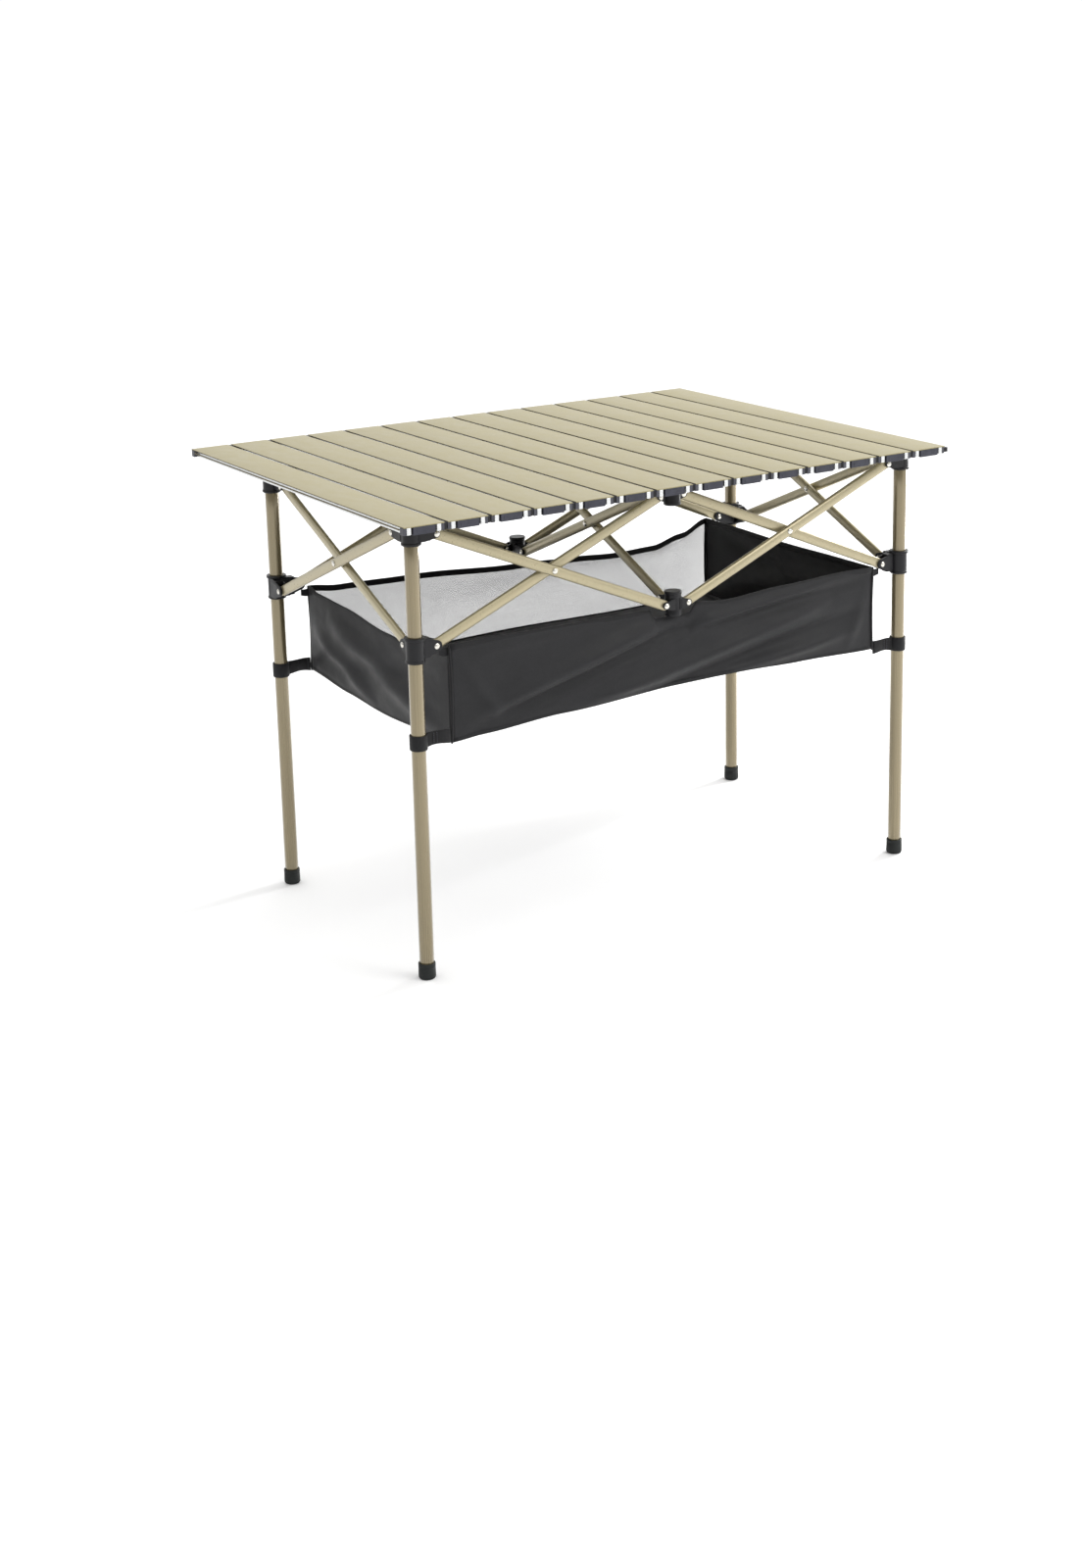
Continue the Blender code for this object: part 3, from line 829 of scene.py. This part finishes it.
def make_piping():
    """Thin corded seams up the four corners."""
    for lr, sx in (("left", -1), ("right", 1)):
        bm = bmesh.new()
        for sy in (-1, 1):
            x = FRAME_X + sx * (BASKET_X + 0.0008)
            y = FRAME_Y + sy * (LEG_Y + 0.0006)
            place = "front" if sy < 0 else "back"
            low = curve(PANELS[place]["low"])(sx * PANELS[place]["half"]) - 0.002
            high = curve(PANELS[place]["top"])(sx * PANELS[place]["half"]) + 0.001
            steps = 18
            rings = []
            for k in range(steps + 1):
                t = k / steps
                bow = 0.0022 * math.sin(math.pi * t)
                shape = 0.0021 * (0.6 if k in (0, steps) else 1)
                centre = Vector((x - sx * bow, y, low + (high - low) * t))
                rings.append([centre + Vector((math.cos(a), math.sin(a), 0)) * shape
                              for a in (math.tau * m / 10 for m in range(10))])
            loft(bm, rings)
        body = "slider_front_" + lr
        squash(to_object(f"basket_{lr}_piping", bm, [BLACK_TAPE], body, ()), lr)


def floor_height(u, v):
    """Height of the cloth bottom at u, v from the basket's middle. It joins the panels' lower edges."""
    hx, hy = BASKET_X, LEG_Y
    edge = {place: curve(PANELS[place]["low"]) for place in PANELS}
    s, t = (u / hx + 1) / 2, (v / hy + 1) / 2
    sides = ((1 - t) * edge["front"](u) + t * edge["back"](u)
             + (1 - s) * edge["left"](v) + s * edge["right"](v))
    corners = ((1 - s) * (1 - t) * edge["front"](-hx) + s * (1 - t) * edge["front"](hx)
               + (1 - s) * t * edge["back"](-hx) + s * t * edge["back"](hx))
    sag = FLOOR_SAG * math.sin(math.pi * s) * math.sin(math.pi * t)
    return sides - corners - sag + FLOOR_LIFT


def make_floor():
    """Cloth bottom in two halves that hinge along the front and back edges."""
    inside_x = BASKET_X - FLOOR_GAP
    y_edge, y_seam = LEG_Y - FLOOR_GAP, 0.0001
    cells_x, cells_y = 96, 32
    for place, sign in (("front", -1), ("back", 1)):
        grids = []
        for out in (CLOTH_HALF, -CLOTH_HALF):
            rows = []
            for j in range(cells_y + 1):
                t = j / cells_y
                y = FRAME_Y + sign * (y_edge + (y_seam - y_edge) * t)
                row = []
                for i in range(cells_x + 1):
                    u = -inside_x + 2 * inside_x * i / cells_x
                    wave = noise.noise(Vector((u * 9, y * 12, 3.0))) * RIPPLE * math.sin(math.pi * t)
                    row.append(Vector((FRAME_X + u, y, floor_height(u, y - FRAME_Y) + wave + out)))
                rows.append(row)
            grids.append(rows)
        bm = bmesh.new()
        skin(bm, *grids)
        node = "basket_floor_" + place
        piece = to_object(node + "_cloth", bm, [FLOOR_CLOTH], node, [node])
        squash(piece, place)


TAIL_SECTION = ((-0.0016, -0.92), (0, -1), (0.0016, -0.92), (0.0017, 0), (0.0016, 0.92), (0, 1),
                (-0.0016, 0.92), (-0.0017, 0))


def make_strap(corner, body):
    """Webbing loop round a leg, with a stitched tail to the basket's lower corner."""
    inner, outer, reach = LEG_R + 0.0007, LEG_R + 0.0023, INSET - 0.0030
    (sx, sy), base = CORNERS[corner], station(corner)
    low, high = STRAP_Z - STRAP_HEIGHT / 2, STRAP_Z + STRAP_HEIGHT / 2
    profile = [(inner, low + 0.0003), (outer - 0.0004, low), (outer, low + 0.0006), (outer + 0.0001, STRAP_Z),
               (outer, high - 0.0006), (outer - 0.0004, high), (inner, high - 0.0003)]
    bm = bmesh.new()
    turned(bm, base, UP, profile, hollow=True)
    rows = []
    for k in range(13):
        t = k / 12
        x = base.x - sx * (outer - 0.0006 + (reach - outer) * t)
        lift = 0.0015 * math.sin(math.pi * t)
        grow = 1 - 0.10 * math.sin(math.pi * t)
        y = base.y + 0.0012 * math.sin(math.tau * t) * -sy
        half = STRAP_HEIGHT / 2 * grow
        rows.append([Vector((x, y + a, STRAP_Z + lift + b * half)) for a, b in TAIL_SECTION])
    loft(bm, rows)
    for t in (0.28, 0.42, 0.86):    # rows of stitches across the tail
        x = base.x - sx * (outer + (reach - outer) * t)
        for side in (-1, 1):
            for k in range(6):
                z = STRAP_Z - 0.0075 + 0.003 * k
                block(bm, (x - 0.0003, base.y + side * 0.0012, z),
                      (x + 0.0003, base.y + side * 0.0021, z + 0.0018), 1)
    node = "strap_" + corner
    to_object(node + "_webbing", bm, [BLACK_TAPE, LINK_NYLON], body, [node])


def make_tab(corner, body):
    """Tab of webbing at the basket's upper corner."""
    (sx, sy), base = CORNERS[corner], station(corner)
    place = "front" if sy < 0 else "back"
    rim = curve(PANELS[place]["top"])(sx * PANELS[place]["half"])
    bm = bmesh.new()
    rows = []
    for k in range(9):
        t = k / 8
        x = base.x - sx * (INSET + 0.002 - 0.0165 * t)
        z = rim - 0.0075 - 0.0015 * math.sin(math.pi * t)
        half = 0.0065 * (1 - 0.25 * t)
        y = base.y - sy * 0.0022
        rows.append([Vector((x, y + a, z + b * half))
                     for a, b in ((-0.0008, -1), (0.0008, -1), (0.0008, 1), (-0.0008, 1))])
    loft(bm, rows)
    to_object(f"basket_tab_{corner}", bm, [BLACK_TAPE], body, (), bevel=0.0003)


def make_straps():
    for corner in CORNERS:
        make_strap(corner, "slider_" + corner)
        make_tab(corner, "slider_" + corner)


# ---------------------------------------------------------------- surroundings

def make_stage():
    """Plain pale floor."""
    size, depth = 30.0, 0.02
    bm = bmesh.new()
    loft(bm, [[(-size, -size, z), (size, -size, z), (size, size, z), (-size, size, z)] for z in (-depth, 0)])
    bmesh.ops.recalc_face_normals(bm, faces=bm.faces[:])
    mesh = bpy.data.meshes.new("studio_floor")
    bm.to_mesh(mesh)
    bm.free()
    n = Nodes("studio_floor")
    n.done(n.tint((0.90, 0.90, 0.90), n.noise(1.5), 0.99, 1.01), 0.85)
    mesh.materials.append(n.mat)
    floor = bpy.data.objects.new("studio_floor", mesh)
    bpy.context.scene.collection.objects.link(floor)


# Light of the studio from all around, and its soft panels: direction, cosine where it starts, strength.
SKY_BASE = 0.20
SKY_PANELS = (
    ((0.53, 0.85, 0.0), 0.0, 0.85),
    ((0.845, -0.534, 0.0), 0.2, 0.80),
    ((-0.845, 0.534, 0.0), 0.6, 0.18),
    ((0.0, 0.0, 1.0), 0.0, 1.15),
)


def area_light(name, place, target, size, power, colour=(1, 1, 1)):
    data = bpy.data.lights.new(name, "AREA")
    data.shape = "RECTANGLE"
    data.size, data.size_y = size
    data.energy = power
    data.color = colour
    obj = bpy.data.objects.new(name, data)
    obj.location = place
    obj.rotation_euler = (Vector(target) - Vector(place)).to_track_quat("-Z", "Y").to_euler()
    bpy.context.scene.collection.objects.link(obj)


def make_lights():
    """Soft sky with four panels, a key light and a rim light."""
    world = bpy.data.worlds.new("studio")
    bpy.context.scene.world = world
    world.use_nodes = True
    tree = world.node_tree
    coord = tree.nodes.new("ShaderNodeTexCoord")
    total = tree.nodes.new("ShaderNodeValue").outputs[0]
    total.default_value = SKY_BASE
    for towards, start, amount in SKY_PANELS:
        dot = tree.nodes.new("ShaderNodeVectorMath")
        dot.operation = "DOT_PRODUCT"
        dot.inputs[1].default_value = towards
        ramp = tree.nodes.new("ShaderNodeMapRange")
        ramp.interpolation_type = "SMOOTHSTEP"
        for key, value in (("From Min", start), ("From Max", 1.0), ("To Min", 0.0), ("To Max", amount)):
            ramp.inputs[key].default_value = value
        add = tree.nodes.new("ShaderNodeMath")
        tree.links.new(coord.outputs["Generated"], dot.inputs[0])
        tree.links.new(dot.outputs["Value"], ramp.inputs["Value"])
        tree.links.new(ramp.outputs["Result"], add.inputs[0])
        tree.links.new(total, add.inputs[1])
        total = add.outputs[0]
    back = tree.nodes["Background"]
    tree.links.new(total, back.inputs["Strength"])
    back.inputs["Color"].default_value = (1, 1, 1, 1)
    area_light("key", (1.6, -2.6, 2.6), (0, 0, 0.5), (1.6, 1.6), 34, (1, 0.99, 0.97))
    area_light("rim", (3.0, 0.4, 1.0), (0, -0.1, 0.35), (0.7, 1.8), 95)


# Camera fitted to the photo: place, turn in degrees, and focal length and centre in the photo's pixels.
PHOTO_WIDE, PHOTO_HIGH = 1104, 1600
CAMERA_PLACE = (-1.8327, -2.9475, 1.3430)
AZIMUTH, ELEVATION, ROLL = -31.983, 14.207, -1.169
FOCAL, CENTRE_X, CENTRE_Y = 2299.9, 581.4, 597.9
SENSOR = 36


def make_camera():
    """Camera at the photo's place, with the photo's framing."""
    data = bpy.data.cameras.new("camera")
    camera = bpy.data.objects.new("camera", data)
    bpy.context.scene.collection.objects.link(camera)
    azimuth, elevation, roll = (math.radians(a) for a in (AZIMUTH, ELEVATION, ROLL))
    back = Vector((math.sin(azimuth) * math.cos(elevation), -math.cos(azimuth) * math.cos(elevation),
                   math.sin(elevation)))
    right = (-back).cross(UP).normalized()
    up = right.cross(-back)
    c, s = math.cos(roll), math.sin(roll)
    right, up = right * c + up * s, up * c - right * s
    turn = Matrix((right, up, back)).transposed().to_4x4()
    camera.matrix_world = Matrix.Translation(CAMERA_PLACE) @ turn
    data.sensor_width = SENSOR
    data.lens = FOCAL * SENSOR / PHOTO_HIGH
    data.shift_x = (PHOTO_WIDE / 2 - CENTRE_X) / PHOTO_HIGH
    data.shift_y = (CENTRE_Y - PHOTO_HIGH / 2) / PHOTO_HIGH
    bpy.context.scene.camera = camera


make_camera()
make_legs()
make_brackets()
make_bars()
make_slats()
make_basket()
make_straps()
make_stage()
make_lights()
bpy.context.scene.view_settings.view_transform = "Standard"
